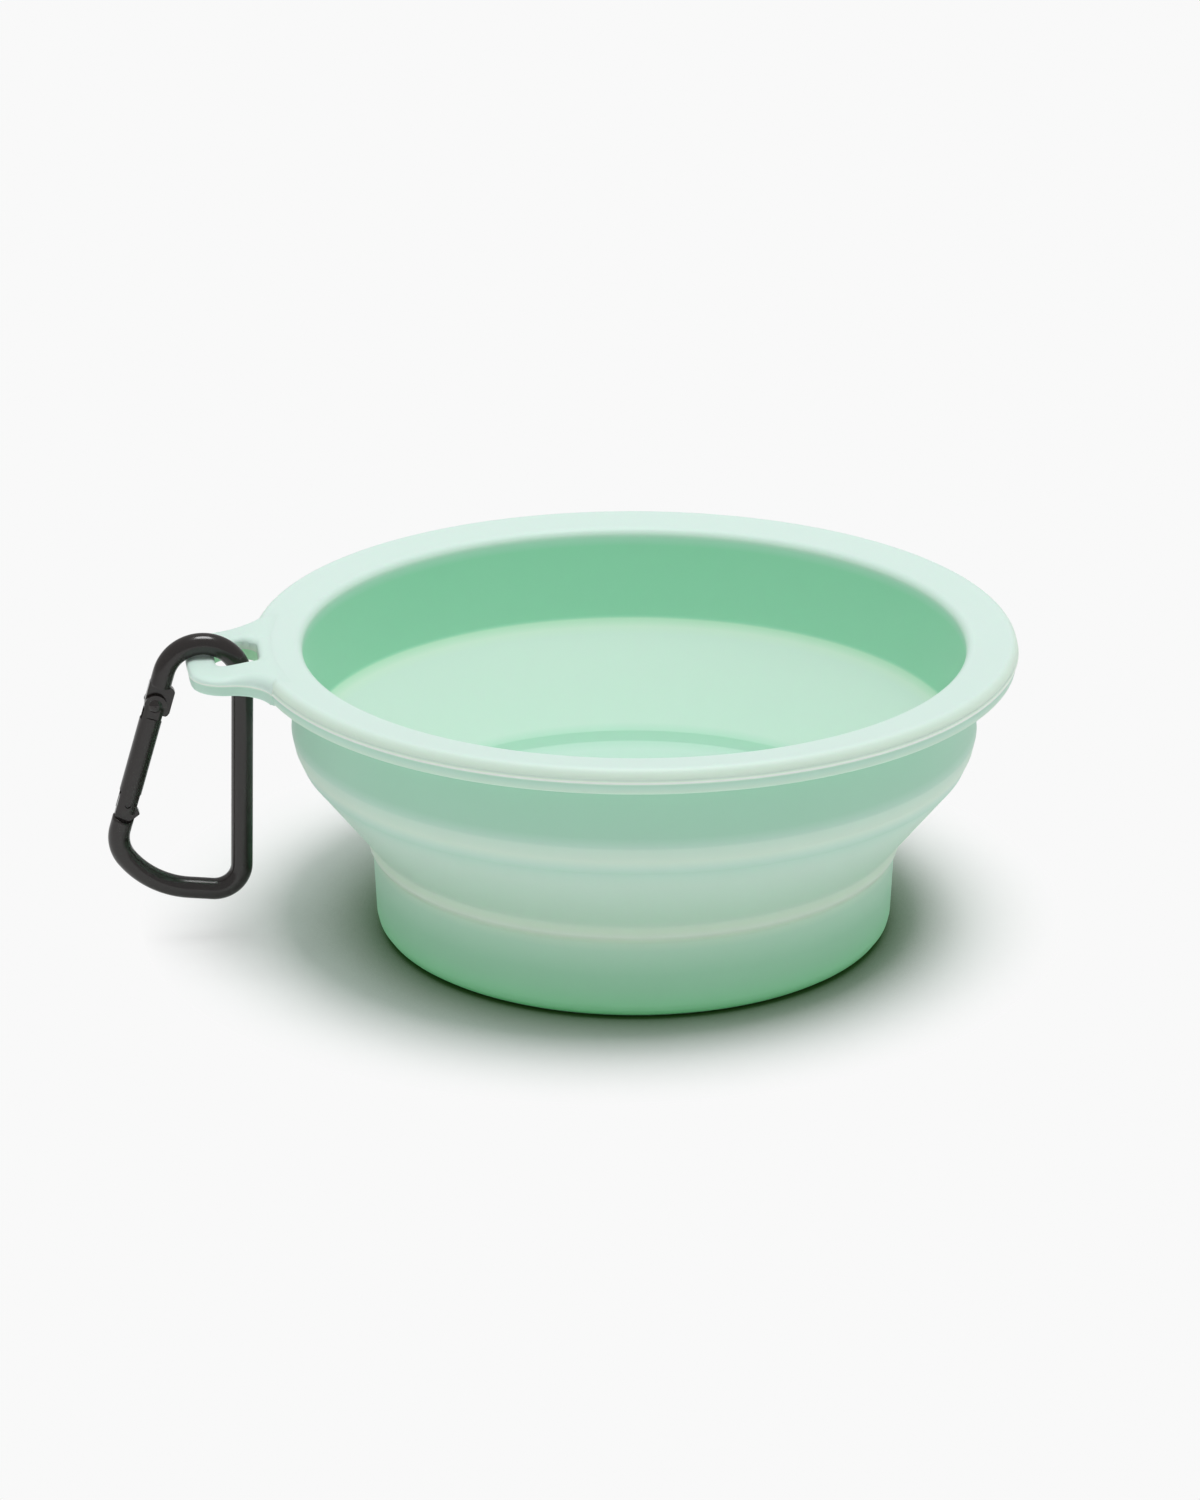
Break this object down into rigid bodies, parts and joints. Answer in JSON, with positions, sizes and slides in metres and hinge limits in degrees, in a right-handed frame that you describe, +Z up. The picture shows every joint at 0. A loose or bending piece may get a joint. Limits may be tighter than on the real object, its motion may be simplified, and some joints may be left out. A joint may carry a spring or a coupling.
{
  "type": "collapsible bowl",
  "caption": "Round silicone travel bowl that folds flat in rings, with a slotted ear on its rim and a small black snap carabiner hanging from the ear.",
  "frame": {"origin": "centre of the underside of the base, on the table", "axes": "+Z up along the bowl's axis; the ear and the carabiner point along -X"},
  "size_m": [0.155, 0.13, 0.0553],
  "materials": {
    "silicone": "matte mint silicone",
    "black_metal": "satin black anodised",
    "steel": "plain steel"
  },
  "bodies": {
    "rim": {"rim_flange": "silicone", "hanging_ear": "silicone", "upper_wall": "silicone", "upper_fold_ring": "silicone"},
    "middle": {"middle_wall": "silicone"},
    "base": {"lower_fold_ring": "silicone", "base_wall": "silicone", "base_floor": "silicone"},
    "carabiner": {"carabiner_frame": "black_metal"},
    "gate": {"carabiner_gate": "black_metal", "hinge_rivet": "steel", "latch_pin": "steel", "gate_spring": "steel"},
    "plunger": {"spring_plunger": "steel"}
  },
  "joints": [
    {"name": "collapse", "type": "slide", "parent": "rim", "child": "base", "axis": [0, 0, 1], "range_m": [0, 0.0315]},
    {"name": "middle_fold", "type": "slide", "parent": "rim", "child": "middle", "axis": [0, 0, 1], "range_m": [0, 0.01575]},
    {"name": "carabiner_swing", "type": "hinge", "parent": "rim", "child": "carabiner", "pos_m": [-0.0732, 0, 0.04675], "axis": [0, 1, 0], "range_deg": [-18, 60]},
    {"name": "gate_open", "type": "hinge", "parent": "carabiner", "child": "gate", "pos_m": [-0.08125, 0, 0.0432], "axis": [0, -1, 0], "range_deg": [0, 30], "stiffness_Nm_per_rad": 0.02, "springref_deg": -57.3},
    {"name": "plunger_slide", "type": "slide", "parent": "gate", "child": "plunger", "axis": [-0.2857, 0, -0.9583], "range_m": [0, 0.0006], "deforming": ["gate_spring"]}
  ],
  "couplings": [
    {"joint": "middle_fold", "follows": "collapse", "ratio": 0.5},
    {"joint": "plunger_slide", "follows": "gate_open", "m_per_rad": 0.00105}
  ]
}
